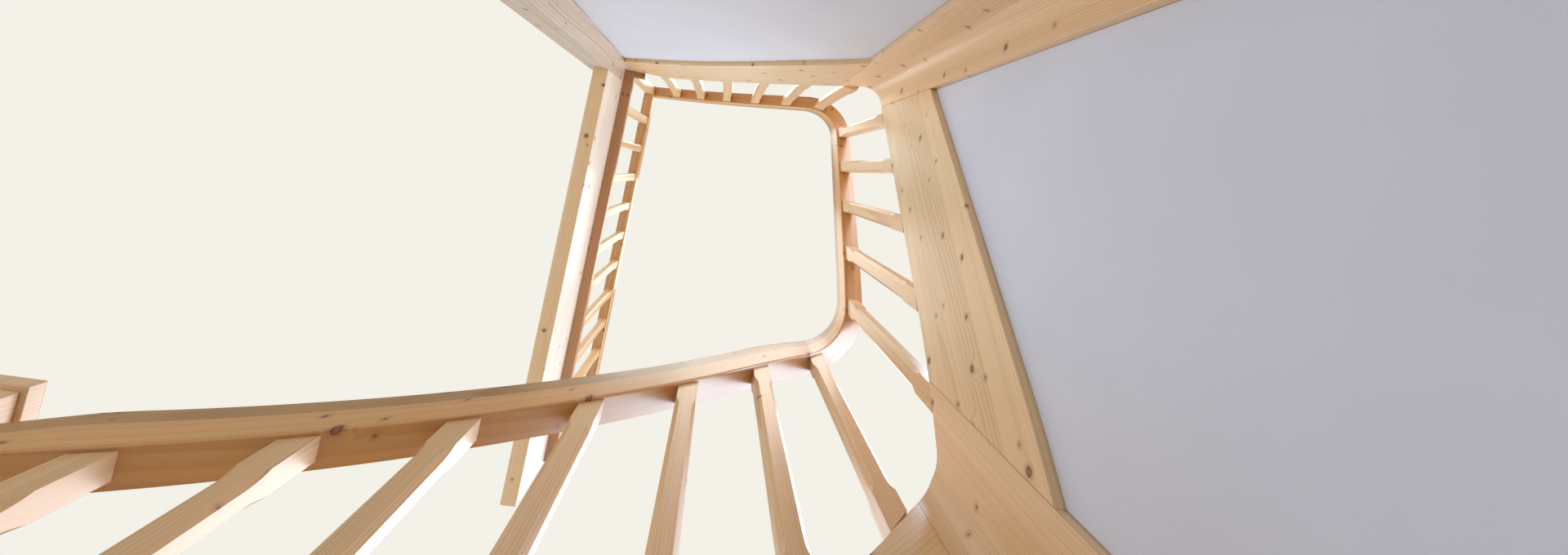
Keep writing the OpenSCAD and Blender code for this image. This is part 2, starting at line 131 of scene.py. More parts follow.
def nose_z(s):
    """Height of the nosing line at a station."""
    return RISER + raw_rise(s) * RISE_SCALE


def string_top(s):
    """Height of the strings' upper edge at a station."""
    return min(nose_z(s) + between(s, STRING_RISE), CAP_Z)


def rail_low(s):
    """Height of the handrail's underside at a station."""
    return nose_z(s) + RAIL_UP


def rail_stretch(s):
    """How much taller the handrail's upright section is than its square one."""
    return sqrt(1 + between(s, PITCHES) ** 2)


print("string top at the corners", round(string_top(0), 4), round(string_top(S_TWO_END), 4))


# %% Plan of the line
def rail_turn(s):
    """Turn of the handrail's line at a station, clockwise from the first flight."""
    if s < S_TWO_END - LEAD:
        return min(max((s + LEAD) / (ARC + 2 * LEAD), 0), 1) * pi / 2
    return pi / 2 + min((s - S_TWO_END + LEAD) / (ARC + 2 * LEAD), 1) * pi / 2


def rail_at(s, off):
    """Point of the handrail's line at a station, a distance outward from the well's face."""
    t = rail_turn(s)
    out = Vector((sin(t), cos(t), 0))
    if s < -LEAD:
        foot = Vector((HALF_X - POST_R + s, HALF_Y, 0))
    elif s < S_TWO + LEAD:
        foot = Vector((HALF_X - RAIL_R, HALF_Y - RAIL_R, 0)) + RAIL_R * out
    elif s < S_TWO_END - LEAD:
        foot = Vector((HALF_X, HALF_Y - POST_R - (s - S_TWO), 0))
    elif s < S_THREE + LEAD:
        foot = Vector((HALF_X - RAIL_R, -HALF_Y + RAIL_R, 0)) + RAIL_R * out
    else:
        foot = Vector((HALF_X - POST_R - (s - S_THREE), -HALF_Y, 0))
    return foot + off * out - Vector((MID_X, 0, 0))


print("rail line meets flight two at", tuple(round(c, 3) for c in rail_at(S_TWO + LEAD, 0)))

# %% [markdown]
# ## Spruce
# Every board here is spruce: pale, straight-grained softwood with darker latewood lines 2 to 5 mm
# apart and a few small brown knots, under a satin lacquer. The boards are cut from the log, so the
# lines are drawn as rings round a pith that lies beside or behind each plank and tilts a little.
# Most faces then show calm straight lines, and a few show a long pointed arch. Each year is a
# little lighter or darker than the next, so that the lines don't look printed. Each piece carries
# its own grain coordinates, metres along, across and through the board, so one finish suits boards
# that run in any direction. Small functions draw the planks, the knots and the late wood first, and
# one more puts them together under the lacquer.


# %% Colour and node helpers
def linear(code):
    """Linear colour of an sRGB hex code."""
    channels = [int(code[i : i + 2], 16) / 255 for i in (1, 3, 5)]
    return (*[c / 12.92 if c <= 0.04045 else ((c + 0.055) / 1.055) ** 2.4 for c in channels], 1)


def blank(name):
    """Makes a material and gives it with its node tree."""
    material = bpy.data.materials.new(name)
    material.use_nodes = True
    return material, material.node_tree


def fill(tree, node, sockets):
    """Fills a node's inputs with values or links."""
    for key, value in sockets.items():
        if isinstance(value, bpy.types.NodeSocket):
            tree.links.new(value, node.inputs[key])
        else:
            node.inputs[key].default_value = value


def add(tree, kind, *values, **settings):
    """Adds a node, sets it, fills its inputs in order or from one dictionary, gives its outputs."""
    node = tree.nodes.new("ShaderNode" + kind)
    for name, value in settings.items():
        setattr(node, name, value)
    in_order = not values or not isinstance(values[0], dict)
    fill(tree, node, dict(enumerate(values)) if in_order else values[0])
    return node.outputs


def swing(tree, value, size):
    """Makes a value from 0 to 1 swing about zero by a size."""
    return add(tree, "Math", value, 2.0 * size, -size, operation="MULTIPLY_ADD")[0]


SMOOTH = {"interpolation_type": "SMOOTHSTEP"}
print("latewood brown, linear:", [round(c, 3) for c in linear("#C48C54")])


# %% Planks
# metres from a joint at which the glue is dark and gone
GLUE_DARK, GLUE_GONE = 0.0002, 0.0010


def planks(tree, y, width):
    """Planks glued edge to edge: the number of each, the place across it from 0 to 1, three random
    values of its own, and the glue lines."""
    node = partial(add, tree)
    place = node("Math", y, width, operation="DIVIDE")[0]
    index = node("Math", place, operation="FLOOR")[0]
    across = node("Math", place, operation="FRACT")[0]
    own = node("TexWhiteNoise", {"W": index}, noise_dimensions="1D")["Color"]
    rest = node("Math", 1.0, across, operation="SUBTRACT")[0]
    edge = node("Math", across, rest, operation="MINIMUM")[0]
    edge = node("Math", edge, width, operation="MULTIPLY")[0]
    glue = node("MapRange", edge, GLUE_DARK, GLUE_GONE, 1.0, 0.0, **SMOOTH)[0]
    return index, across, node("SeparateXYZ", own), glue


# %% Knots
# in metres: spacing of the cells, least radius, what the largest has more, and halo
KNOT_CELL = 0.095
KNOT_RADIUS = 0.0017
KNOT_SPREAD = 0.0050
KNOT_HALO = 0.009


def knots_in(tree, x, y, z, share):
    """Knots in a share of the cells, which come out round on a face and on an edge: the distance to
    the nearest, its radius, whether it is there, and its pull on the rings."""
    node = partial(add, tree)
    u = node("Math", x, KNOT_CELL, operation="DIVIDE")[0]
    v = node("Math", y, z, operation="ADD")[0]
    v = node("Math", v, KNOT_CELL, operation="DIVIDE")[0]
    cells = node("CombineXYZ", u, v, 0.0)[0]
    spot = node("TexVoronoi", {"Vector": cells, "Scale": 1.0}, voronoi_dimensions="2D")
    draw = node("SeparateXYZ", spot["Color"])[0]
    away = node("Math", spot["Distance"], KNOT_CELL, operation="MULTIPLY")[0]
    size = node("MapRange", draw, 1.0 - share, 1.0, 0.0, 1.0, **SMOOTH)[0]
    size = node("Math", size, 1.5, operation="POWER")[0]
    radius = node("Math", size, KNOT_SPREAD, KNOT_RADIUS, operation="MULTIPLY_ADD")[0]
    there = node("MapRange", draw, 1.0 - share, 1.02 - share, 0.0, 1.0, **SMOOTH)[0]
    # rings bend round a knot, and the bend dies away within a few radii
    near = node("Math", radius, 2.4, operation="MULTIPLY")[0]
    near = node("Math", away, near, operation="DIVIDE")[0]
    near = node("Math", near, near, operation="MULTIPLY")[0]
    near = node("Math", near, -1.0, operation="MULTIPLY")[0]
    pull = node("Math", 2.0, near, operation="POWER")[0]
    pull = node("Math", pull, there, operation="MULTIPLY")[0]
    pull = node("Math", pull, radius, operation="MULTIPLY")[0]
    return away, radius, there, pull


def with_knots(tree, colour, away, radius, there):
    """Colours the knots: a soft brown halo, a dark rim and a redder heart."""
    node = partial(add, tree)
    past = node("Math", away, radius, operation="SUBTRACT")[0]
    halo = node("MapRange", past, 0.0, KNOT_HALO, 0.5, 0.0, **SMOOTH)[0]
    halo = node("Math", halo, there, operation="MULTIPLY")[0]
    colour = node("Mix", {0: halo, 6: colour, 7: linear("#AE7740")}, data_type="RGBA")[2]
    core = node("MapRange", past, -0.0008, 0.0006, 1.0, 0.0, **SMOOTH)[0]
    core = node("Math", core, there, operation="MULTIPLY")[0]
    rim = node("Math", away, radius, operation="DIVIDE")[0]
    rim = node("MapRange", rim, 0.25, 0.95, 0.0, 1.0, **SMOOTH)[0]
    heart = node("Mix", {0: rim, 6: linear("#9C5C2A"), 7: linear("#582C12")}, data_type="RGBA")[2]
    return node("Mix", {0: core, 6: colour, 7: heart}, data_type="RGBA")[2]


# %% Late wood
# spells of wide and narrow rings: how many in a metre, and how far they push the rings
SPELLS = 22.0
SPELL_SHIFT = 0.016


def late_wood(tree, reach, index, ring):
    """How dark the wood is at a distance from the pith, from 0 to 1. Each year has its own width
    and its own strength, darkens slowly and ends in a sharp edge."""
    node = partial(add, tree)
    slow = node("Math", reach, SPELLS, operation="MULTIPLY")[0]
    slow = node("CombineXYZ", slow, index, 3.0)[0]
    width = node("TexNoise", {"Vector": slow, "Scale": 1.0, "Detail": 0.0})["Fac"]
    count = node("Math", width, SPELL_SHIFT, reach, operation="MULTIPLY_ADD")[0]
    count = node("Math", count, ring, operation="DIVIDE")[0]
    number = node("Math", count, operation="FLOOR")[0]
    season = node("Math", count, operation="FRACT")[0]
    darkens = node("MapRange", season, 0.15, 0.85, 0.0, 1.0, **SMOOTH)[0]
    ends = node("MapRange", season, 0.88, 1.0, 1.0, 0.0, **SMOOTH)[0]
    late = node("Math", darkens, ends, operation="MULTIPLY")[0]
    year = node("TexWhiteNoise", {"W": number}, noise_dimensions="1D")["Value"]
    year = node("Math", year, 0.9, 0.25, operation="MULTIPLY_ADD")[0]
    return node("Math", late, year, operation="MULTIPLY")[0]


# %% Spruce material
# repeats per metre along, across and through the board, and the detail of each pattern: ripples of
# the rings, broad streaks of tone, and fibres about a millimetre wide, the finest that show
RIPPLE = (5.0, 60.0, 60.0), 2.0
STREAK = (0.9, 34.0, 34.0), 2.0
FIBRE = (14.0, 900.0, 900.0), 3.0
LACQUER = {"IOR": 1.5, "Coat Weight": 0.6, "Coat Roughness": 0.26}
# how far the pith wanders sideways, in depth and from plank to plank, in metres, and its tilt
WANDER, WANDER_DEEP, DEEPER, TILT = 0.012, 0.014, 0.06, 0.022
# how much nearer the upper ply's pith is and how far it wanders, and half the joint's width
PLY_NEARER, PLY_FLAME, PLY_LINE = 0.44, 0.045, 0.0006
# how far ripples push the rings, and how high the late wood stands
RIPPLED, RAISED = 0.0014, 0.0004
# how much streaks, fibres and whole planks change the tone
STREAK_TONE, FIBRE_TONE, PLANK_TONE = 0.13, 0.07, 0.045


def spruce(
    name,
    light,
    dark,
    plank,
    ring=0.0032,
    contrast=0.5,
    knots=0.7,
    pith=(-1.0, 2.0),
    depth=0.035,
    upper=None,
):
    """Lacquered spruce. light and dark are the early and late wood, plank is the board width in
    metres, pith the range of the pith's place in plank widths, depth its least depth behind the
    face, and upper the height of a second ply and the tone of the painted shade that darkens it."""
    material, tree = blank(name)
    node = partial(add, tree)
    grain = node("Attribute", attribute_name="grain")["Vector"]
    x, y, z = node("SeparateXYZ", grain)
    index, across, (r1, r2, r3), glue = planks(tree, y, plank)
    away, radius, there, pull = knots_in(tree, x, y, z, knots)
    patterns = []
    for scale, detail in (RIPPLE, STREAK, FIBRE):
        place = node("VectorMath", grain, scale, operation="MULTIPLY")[0]
        patterns += [node("TexNoise", {"Vector": place, "Scale": 1.0, "Detail": detail})["Fac"]]
    ripple, streak, fibre = patterns

    # place of the pith beside and behind the face, which wanders and tilts along each plank
    u = node("Math", x, 1.1, operation="MULTIPLY")[0]
    v = node("Math", index, 0.5, operation="ADD")[0]
    drift = node("CombineXYZ", u, v, 0.0)[0]
    drift = node("TexNoise", {"Vector": drift, "Scale": 1.0, "Detail": 1.0})["Color"]
    w1, w2, w3 = node("SeparateXYZ", drift)
    centre = node("Math", r1, pith[1] - pith[0], pith[0], operation="MULTIPLY_ADD")[0]
    side = node("Math", across, centre, operation="SUBTRACT")[0]
    side = node("Math", side, plank, operation="MULTIPLY")[0]
    side = node("Math", side, swing(tree, w1, WANDER), operation="ADD")[0]
    below = node("Math", z, swing(tree, w2, WANDER_DEEP), operation="ADD")[0]
    deep = node("Math", r3, DEEPER, depth, operation="MULTIPLY_ADD")[0]
    deep = node("Math", deep, below, operation="ADD")[0]
    tilt = node("Math", x, swing(tree, r2, TILT), operation="MULTIPLY")[0]
    deep = node("Math", deep, tilt, operation="ADD")[0]
    if upper:
        # the upper ply is sawn from nearer the heart, so its rings show as long flames
        line = upper[0] - PLY_LINE, upper[0] + PLY_LINE
        over = node("MapRange", y, *line, 0.0, 1.0, **SMOOTH)[0]
        nearer = node("Math", over, PLY_NEARER, operation="MULTIPLY")[0]
        side = node("Math", side, nearer, operation="SUBTRACT")[0]
        flame = node("Math", over, swing(tree, w1, PLY_FLAME), operation="MULTIPLY")[0]
        deep = node("Math", deep, flame, operation="ADD")[0]

    # rings by their distance from the pith, pushed aside by the knots
    squares = [node("Math", part, part, operation="MULTIPLY")[0] for part in (side, deep)]
    reach = node("Math", *squares, operation="ADD")[0]
    reach = node("Math", reach, operation="SQRT")[0]
    bulge = node("Math", pull, 1.2, operation="MULTIPLY")[0]
    reach = node("Math", reach, bulge, operation="ADD")[0]
    reach = node("Math", ripple, RIPPLED, reach, operation="MULTIPLY_ADD")[0]
    late = late_wood(tree, reach, index, ring)

    # colour: late wood over early wood, then streaks, warm patches, knots and glue lines
    share = node("Math", late, contrast, operation="MULTIPLY")[0]
    colour = node("Mix", {0: share, 6: linear(light), 7: linear(dark)}, data_type="RGBA")[2]
    broad = swing(tree, streak, STREAK_TONE), swing(tree, r3, PLANK_TONE)
    tone = node("Math", *broad, operation="ADD")[0]
    tone = node("Math", swing(tree, fibre, FIBRE_TONE), tone, operation="ADD")[0]
    tone = node("Math", tone, 1.0, operation="ADD")[0]
    if upper:
        # painted shade: the upper ply is drawn darker, as it leans back from the light
        darker = node("Math", over, upper[1] - 1.0, 1.0, operation="MULTIPLY_ADD")[0]
        tone = node("Math", tone, darker, operation="MULTIPLY")[0]
    colour = node("VectorMath", {0: colour, "Scale": tone}, operation="SCALE")[0]
    warm = node("MapRange", w3, 0.45, 0.75, 0.0, 1.0, **SMOOTH)[0]
    warm = node("Math", warm, 0.16, operation="MULTIPLY")[0]
    colour = node("Mix", {0: warm, 6: colour, 7: linear("#D8A069")}, data_type="RGBA")[2]
    colour = with_knots(tree, colour, away, radius, there)
    seam = node("Math", glue, 0.40, operation="MULTIPLY")[0]
    colour = node("Mix", {0: seam, 6: colour, 7: linear("#8A5E36")}, data_type="RGBA")[2]

    # relief and gloss: late wood stands out and is smoother
    relief = node("Math", fibre, 0.5, operation="MULTIPLY")[0]
    relief = node("Math", relief, glue, operation="SUBTRACT")[0]
    raised = node("Math", late, 0.5, operation="MULTIPLY")[0]
    relief = node("Math", raised, relief, operation="ADD")[0]
    bump = node("Bump", {"Strength": 0.2, "Distance": RAISED, "Height": relief})[0]
    rough = node("Math", streak, late, operation="SUBTRACT")[0]
    rough = node("Math", rough, 0.08, 0.42, operation="MULTIPLY_ADD")[0]
    sockets = {"Base Color": colour, "Roughness": rough, "Normal": bump}
    fill(tree, tree.nodes["Principled BSDF"], {**sockets, **LACQUER})
    return material


# %% Spruce finishes
# a block's plank is wider than any post, rail or stick: each is one piece of wood
BLOCK_W = 0.80
FINISH = {
    # honey-coloured, calm boards with many small knots
    "strings": spruce(
        "lacquered_spruce_strings", "#EACA98", "#C48C54", plank=0.125, contrast=0.38, knots=0.8
    ),
    # thick blocks: one plank wide, and the rings lie along the face
    "posts": spruce(
        "lacquered_spruce_posts",
        "#EDC998",
        "#BE8656",
        plank=BLOCK_W,
        ring=0.0040,
        contrast=0.38,
        knots=0.8,
        pith=(0.499, 0.501),
        depth=0.05,
    ),
    # limed timber, its rings drawn a little coarser than life so that they show from the floor
    "pale_boards": spruce(
        "limed_spruce_post",
        "#E2D3C2",
        "#A06E54",
        plank=0.60,
        ring=0.0055,
        contrast=0.55,
        knots=0.3,
        pith=(0.49, 0.51),
    ),
    # nearly white: painted glare of the daylight on the fascia's face
    "fascia": spruce(
        "painted_glare_spruce_fascia", "#F3ECE0", "#DFCAB0", plank=0.14, contrast=0.45, knots=0.2
    ),
    # narrow planks, as treads are glued, and one wide plank for each riser
    "tread_boards": spruce("lacquered_spruce_treads", "#E2C08F", "#C08E55", plank=0.09, knots=0.4),
    "riser_boards": spruce("lacquered_spruce_risers", "#E2C190", "#C4945C", plank=0.175, knots=0.4),
    # redder heartwood in two plies; the upper ply's darker tone is painted shade, as it leans back
    # from the light
    "handrail": spruce(
        "lacquered_spruce_handrail",
        "#E2AC6A",
        "#A06A36",
        plank=BLOCK_W,
        ring=0.0040,
        contrast=0.46,
        knots=0.9,
        pith=(-0.50, -0.40),
        depth=0.20,
        upper=(0.058, 0.64),
    ),
    # one plank to a stick, from anywhere in the log, with few knots
    "balusters": spruce(
        "lacquered_spruce_balusters",
        "#E8BF8A",
        "#B27F4C",
        plank=BLOCK_W,
        ring=0.0046,
        contrast=0.45,
        knots=0.12,
        pith=(-0.8, 1.8),
    ),
    # darker brown: painted shade, as the capping is seen only from below, in its own shadow
    "capping": spruce("painted_shade_spruce_capping", "#AC7846", "#7A4C26", plank=0.60),
}
print("finishes:", ", ".join(FINISH))

# %% [markdown]
# ## Plaster
# The panels below the strings are smooth gypsum plaster with a matt white paint. It is rolled on,
# which leaves a fine stipple, and the trowel leaves shallow waves a hand wide.


# %% Plaster material
# repeats per metre of the trowel's waves and of the roller's stipple
WAVES, STIPPLES = 5.0, 420.0


def plaster(name, colour):
    """Matt painted plaster."""
    material, tree = blank(name)
    node = partial(add, tree)
    place = node("TexCoord")["Object"]
    wave = node("TexNoise", {"Vector": place, "Scale": WAVES, "Detail": 3.0})["Fac"]
    stipple = node("TexNoise", {"Vector": place, "Scale": STIPPLES, "Detail": 2.0})["Fac"]
    tone = node("MapRange", wave, 0.3, 0.7, 0.975, 1.02)[0]
    tint = node("VectorMath", {0: linear(colour)[:3], "Scale": tone}, operation="SCALE")[0]
    height = node("Math", stipple, 0.12, wave, operation="MULTIPLY_ADD")[0]
    bump = node("Bump", {"Strength": 0.5, "Distance": 0.0012, "Height": height})[0]
    rough = node("MapRange", {"Value": stipple, "To Min": 0.82, "To Max": 0.95})[0]
    sockets = {"Base Color": tint, "Normal": bump, "Roughness": rough, "IOR": 1.45}
    fill(tree, tree.nodes["Principled BSDF"], sockets)
    return material


FINISH["plaster"] = plaster("matt_painted_plaster", "#DDE1E9")
print("finishes:", len(FINISH))

# %% [markdown]
# ## Boards
# A joiner eases every sharp edge by a millimetre or two, and that thin rounded line is what
# catches the light. Each CAD board is copied, its triangles are merged into whole faces, and a
# bevel eases its arrises. Weighted normals keep the broad faces flat to the eye right up to the
# eased edge. The copy stands for the CAD node, which keeps its place for collision.


# %% Selecting
def only(piece):
    """Makes one object the only one selected."""
    bpy.ops.object.select_all(action="DESELECT")
    piece.select_set(True)
    bpy.context.view_layer.objects.active = piece


def pick(test, kind="VERT"):
    """Selects the edited piece's vertices or edges whose middle passes a test."""
    bpy.ops.mesh.select_mode(type=kind)
    bpy.ops.mesh.select_all(action="DESELECT")
    mesh = bmesh.from_edit_mesh(bpy.context.object.data)
    for part in mesh.verts if kind == "VERT" else mesh.edges:
        corners = [part.co] if kind == "VERT" else [v.co for v in part.verts]
        if test(sum(corners, Vector()) / len(corners)):
            part.select_set(True)
    mesh.select_flush_mode()
    bmesh.update_edit_mesh(bpy.context.object.data)


def start_from(primitive, name):
    """Adds a primitive of unit size at the origin and opens it, all selected."""
    bpy.ops.object.select_all(action="DESELECT")
    primitive(size=1, location=(0, 0, 0))
    piece = bpy.context.object
    piece.name = name
    bpy.ops.object.mode_set(mode="EDIT")
    bpy.ops.mesh.select_all(action="SELECT")
    return piece


# %% Grain
# metres in the log from one board to the next, along, across and through it
BOARD_APART, ACROSS_APART, THROUGH_APART = 1.7, 0.31, 0.003


def write_grain(piece, local):
    """Stores grain coordinates on the piece's vertices."""
    layer = piece.data.attributes.new("grain", "FLOAT_VECTOR", "POINT")
    layer.data.foreach_set("vector", np.asarray(local, dtype=float).ravel())


def spots(piece):
    """Places of the piece's vertices, one row each."""
    places = np.empty(3 * len(piece.data.vertices))
    piece.data.vertices.foreach_get("co", places)
    return places.reshape(-1, 3)


def grain(piece, along, across, start, shift=None):
    """Writes straight grain: metres along, across and through the board from its middle."""
    u = Vector(along).normalized()
    v = Vector(across)
    v = (v - u * v.dot(u)).normalized()
    local = spots(piece) @ np.array([u, v, u.cross(v)]).T
    middle = (local.min(axis=0) + local.max(axis=0)) / 2
    over = start * ACROSS_APART if shift is None else shift
    write_grain(piece, local - middle + [start * BOARD_APART, over, start * THROUGH_APART])


# %% Joining and easing
SHARP = 32
MOULDED_SHARP = 30
BOARD_ARRIS = 0.002


def join(pieces, name):
    """Joins pieces into the first one."""
    bpy.ops.object.select_all(action="DESELECT")
    for piece in pieces:
        piece.select_set(True)
    bpy.context.view_layer.objects.active = pieces[0]
    bpy.ops.object.join()
    pieces[0].name = name
    return pieces[0]


def smoothed(piece, angle=SHARP):
    """Shades a piece smooth across soft edges only, with its broad faces kept flat."""
    only(piece)
    bpy.ops.object.shade_smooth_by_angle(angle=radians(angle))
    weighted = piece.modifiers.new("flat_faces", "WEIGHTED_NORMAL")
    weighted.keep_sharp = True
    bpy.ops.object.modifier_apply(modifier="flat_faces")


def ease(piece, width):
    """Rounds a piece's sharp edges by a width."""
    only(piece)
    bevel = piece.modifiers.new("eased", "BEVEL")
    bevel.width = width
    bevel.segments = 2
    bevel.angle_limit = radians(SHARP)
    bpy.ops.object.modifier_apply(modifier="eased")
    smoothed(piece)


def eased(node, width=BOARD_ARRIS, keep=None):
    """Copies a CAD node, merges it into whole faces, keeps the part that is asked for, eases it."""
    only(NODES[node])
    bpy.ops.object.duplicate()
    piece = bpy.context.object
    piece.name = node + ".board"
    bpy.ops.object.mode_set(mode="EDIT")
    bpy.ops.mesh.select_all(action="SELECT")
    bpy.ops.mesh.remove_doubles(threshold=0.00001)
    bpy.ops.mesh.dissolve_limited(angle_limit=radians(1))
    if keep:
        pick(lambda c: not keep(c))
        bpy.ops.mesh.delete(type="VERT")
    bpy.ops.object.mode_set(mode="OBJECT")
    ease(piece, width)
    return piece


# %% Giving a piece its finish
def finish_piece(piece, slot, *nodes, finish=None):
    """Gives a piece its finish and its body, and hides the CAD nodes that it stands for."""
    piece.data.materials.clear()
    piece.data.materials.append(FINISH[finish or slot])
    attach(piece, "root")
    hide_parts(*nodes)


# %% [markdown]
# ## Strings
# A string is a board 45 mm thick and up to 400 mm deep, glued edge to edge from planks 125 mm
# wide, so that each plank shows its own tone and pith. Both its edges are sawn to curves that
# follow the treads, but the planks are laid up straight: their grain runs at the mean slope of the
# flight.

# %% Strings
def rise_over(a, b):
    """Mean slope of the nosing line between two stations."""
    return (nose_z(b) - nose_z(a)) / (b - a)


LOWER_FROM = -0.600
ALONG = {
    "lower": (1, 0, rise_over(LOWER_FROM, 0)),
    "middle": (0, -1, rise_over(S_TWO, S_TWO_END)),
    "upper": (-1, 0, rise_over(S_THREE, S_END)),
}
for k, (part, along) in enumerate(ALONG.items()):
    for prefix in ("string_", "wall_string_"):
        piece = eased(prefix + part)
        grain(piece, along, (0, 0, 1), start=k + 3 * len(prefix))
        finish_piece(piece, "strings", prefix + part)
print("strings eased")

# %% [markdown]
# ## Posts
# A rounded post joins two flights: square outside, rounded towards the well, and its top edge
# climbs round the corner in one smooth curve. Its section is an upright board whose width changes
# at every step round the corner, which no single operator gives, so the sections are computed and
# skinned. The posts are thick blocks whose growth rings lie along the first face. That face is
# calm, and the face round the corner shows close upright lines.


# %% Sections of the rounded posts
ARC_STEPS = 24
LEAD_STEPS = 4
LEG_STEPS = 6


def post_section(s):
    """Upright section of a rounded post at a station: inner and outer plan points, and the top."""
    first = s < (S_TWO + S_TWO_END) / 2
    centre = Vector((HALF_X - POST_R, HALF_Y - POST_R if first else POST_R - HALF_Y, 0))
    start, finish = (0, S_TWO) if first else (S_TWO_END, S_THREE)
    base = 0 if first else pi / 2
    t = base + min(max((s - start) / ARC, 0), 1) * pi / 2
    out = Vector((sin(t), cos(t), 0))
    straight = min(s - start, 0) + max(s - finish, 0)
    ahead = Vector((cos(t), -sin(t), 0)) * straight
    reach = (POST_R + STRING_T) / max(abs(out.x), abs(out.y))
    return centre + out * POST_R + ahead, centre + out * reach + ahead, string_top(s)


def rounded_post(name, first, last, corner):
    """Skins the sections of a rounded post from one station to another."""
    arc = [corner + ARC * k / ARC_STEPS for k in range(ARC_STEPS + 1)]
    toe = [first + (corner - first) * k / LEAD_STEPS for k in range(LEAD_STEPS)]
    leg = [arc[-1] + (last - arc[-1]) * k / LEG_STEPS for k in range(1, LEG_STEPS + 1)]
    skin = bmesh.new()
    rows = []
    for s in toe + arc + leg:
        inner, outer, top = post_section(s)
        corners = [inner, inner + Vector((0, 0, top)), outer + Vector((0, 0, top)), outer]
        rows.append([skin.verts.new(c - Vector((MID_X, 0, 0))) for c in corners])
    for a, b in zip(rows, rows[1:]):
        for k in range(4):
            skin.faces.new([a[k], a[(k + 1) % 4], b[(k + 1) % 4], b[k]])
    skin.faces.new(rows[0])
    skin.faces.new(rows[-1])
    bmesh.ops.recalc_face_normals(skin, faces=skin.faces)
    mesh = bpy.data.meshes.new(name)
    skin.to_mesh(mesh)
    skin.free()
    piece = bpy.data.objects.new(name, mesh)
    bpy.context.scene.collection.objects.link(piece)
    ease(piece, BOARD_ARRIS)
    return piece


def round_face(piece, corner, heart, number):
    """Writes grain that goes up a rounded post and round its face, from its heart's station."""
    high = corner == 0
    places = spots(piece) + [MID_X, 0, 0]
    x = places[:, 0] - (HALF_X - POST_R)
    y = places[:, 1] - (HALF_Y - POST_R if high else POST_R - HALF_Y)
    one, two = (y, x) if high else (x, -y)
    turn = np.arctan2(np.maximum(two, 0), np.maximum(one, 0))
    along = np.minimum(two, 0) - np.minimum(one, 0)
    station = corner + along + turn * POST_R
    off = np.hypot(np.maximum(x, 0), np.maximum(y if high else -y, 0)) - POST_R
    up = places[:, 2] + BOARD_APART * number
    across = station - heart + BLOCK_W * number + BLOCK_W / 2
    write_grain(piece, np.column_stack([up, across, off]))


# %% Rounded posts
LEG_LOWER, LEG_UPPER = 0.140, 0.113
TOE_LOWER, TOE_UPPER = 0.002, 0.023
POST_ENDS = {
    "corner_post_lower": (-TOE_LOWER, S_TWO + LEG_LOWER - POST_R, 0),
    "corner_post_upper": (S_TWO_END - TOE_UPPER, S_THREE + LEG_UPPER - POST_R, S_TWO_END),
}
# the lower post's heart lies well before its face, and the upper one's under its last leg
HEART = {"corner_post_lower": -0.10, "corner_post_upper": S_THREE + 0.06}
for k, (node, ends) in enumerate(POST_ENDS.items()):
    piece = rounded_post(node + ".rounded", *ends)
    round_face(piece, ends[2], HEART[node], k)
    finish_piece(piece, "posts", node)
    print(node, "has", len(piece.data.polygons), "faces")

# %% [markdown]
# ## Square posts, treads and risers
# The square posts are sawn from single baulks. The landing post is scrubbed and limed pale, which
# leaves its late wood standing out as fine red-brown lines. Treads are glued from narrow planks,
# with the grain along the nosing, and every riser's grain runs along the riser too.

# %% Square posts
for k, node in enumerate(["start_newel", "newel_cap", "gallery_newel"]):
    piece = eased(node)
    grain(piece, (0, 0, 1), (1, 0, 0), start=k + 3, shift=2.9 + BLOCK_W * k)
    finish_piece(piece, "posts", node)
piece = eased("landing_post")
grain(piece, (0, 0, 1), (1, 0, 0), start=2)
finish_piece(piece, "pale_boards", "landing_post")
print("square posts eased")


# %% Treads and risers
TREAD_ARRIS, NOSING_ARRIS, RISER_ARRIS = 0.006, 0.003, 0.001


def grain_along(piece, start, across=None):
    """Writes grain that runs along a board's longest edge, seen from above."""
    places = spots(piece)
    spans = [places[e.vertices[0]] - places[e.vertices[1]] for e in piece.data.edges]
    x, y, _ = max(spans, key=lambda v: v @ v)
    grain(piece, (x, y, 0), across or (-y, x, 0), start=start)


for k in range(1, 16):
    node = f"tread_{k:02d}"
    piece = eased(node, TREAD_ARRIS)
    grain_along(piece, k)
    finish_piece(piece, "tread_boards", node)
piece = eased("risers", RISER_ARRIS)
only(piece)
bpy.ops.mesh.separate(type="LOOSE")
boards = list(bpy.context.selected_objects)
for k, board in enumerate(boards):
    grain_along(board, k, (0, 0, 1))
finish_piece(join(boards, piece.name), "riser_boards", "risers")
print("risers:", len(boards))
for node, across in (("landing_nosing", (1, 0, 0)), ("landing_trimmer", (0, 0, 1))):
    piece = eased(node, NOSING_ARRIS)
    grain(piece, (0, 1, 0), across, start=4)
    finish_piece(piece, "tread_boards", node)
print("treads eased")

# %% [markdown]
# ## Gallery boards
# The fascia's face is drawn nearly white, a painted glare of the daylight on it, while its lower
# edge keeps the colour of the wood, so the faces that look down get a second finish. The capping
# over it is darker, which is painted shade, as it is seen only from below.

# %% Fascia and capping
piece = eased("gallery_fascia")
grain(piece, (0, 1, 0), (0, 0, 1), start=2)
finish_piece(piece, "pale_boards", "gallery_fascia", finish="fascia")
piece.data.materials.append(FINISH["strings"])
# the faces that look down keep the wood's own colour, the others carry the painted glare
for face in piece.data.polygons:
    face.material_index = 1 if face.normal.z < -0.5 else 0
# the capping's darker finish is painted shade
piece = eased("gallery_capping", NOSING_ARRIS)
grain(piece, (0, 1, 0), (1, 0, 0), start=5)
finish_piece(piece, "capping", "gallery_capping")
print("gallery boards eased")

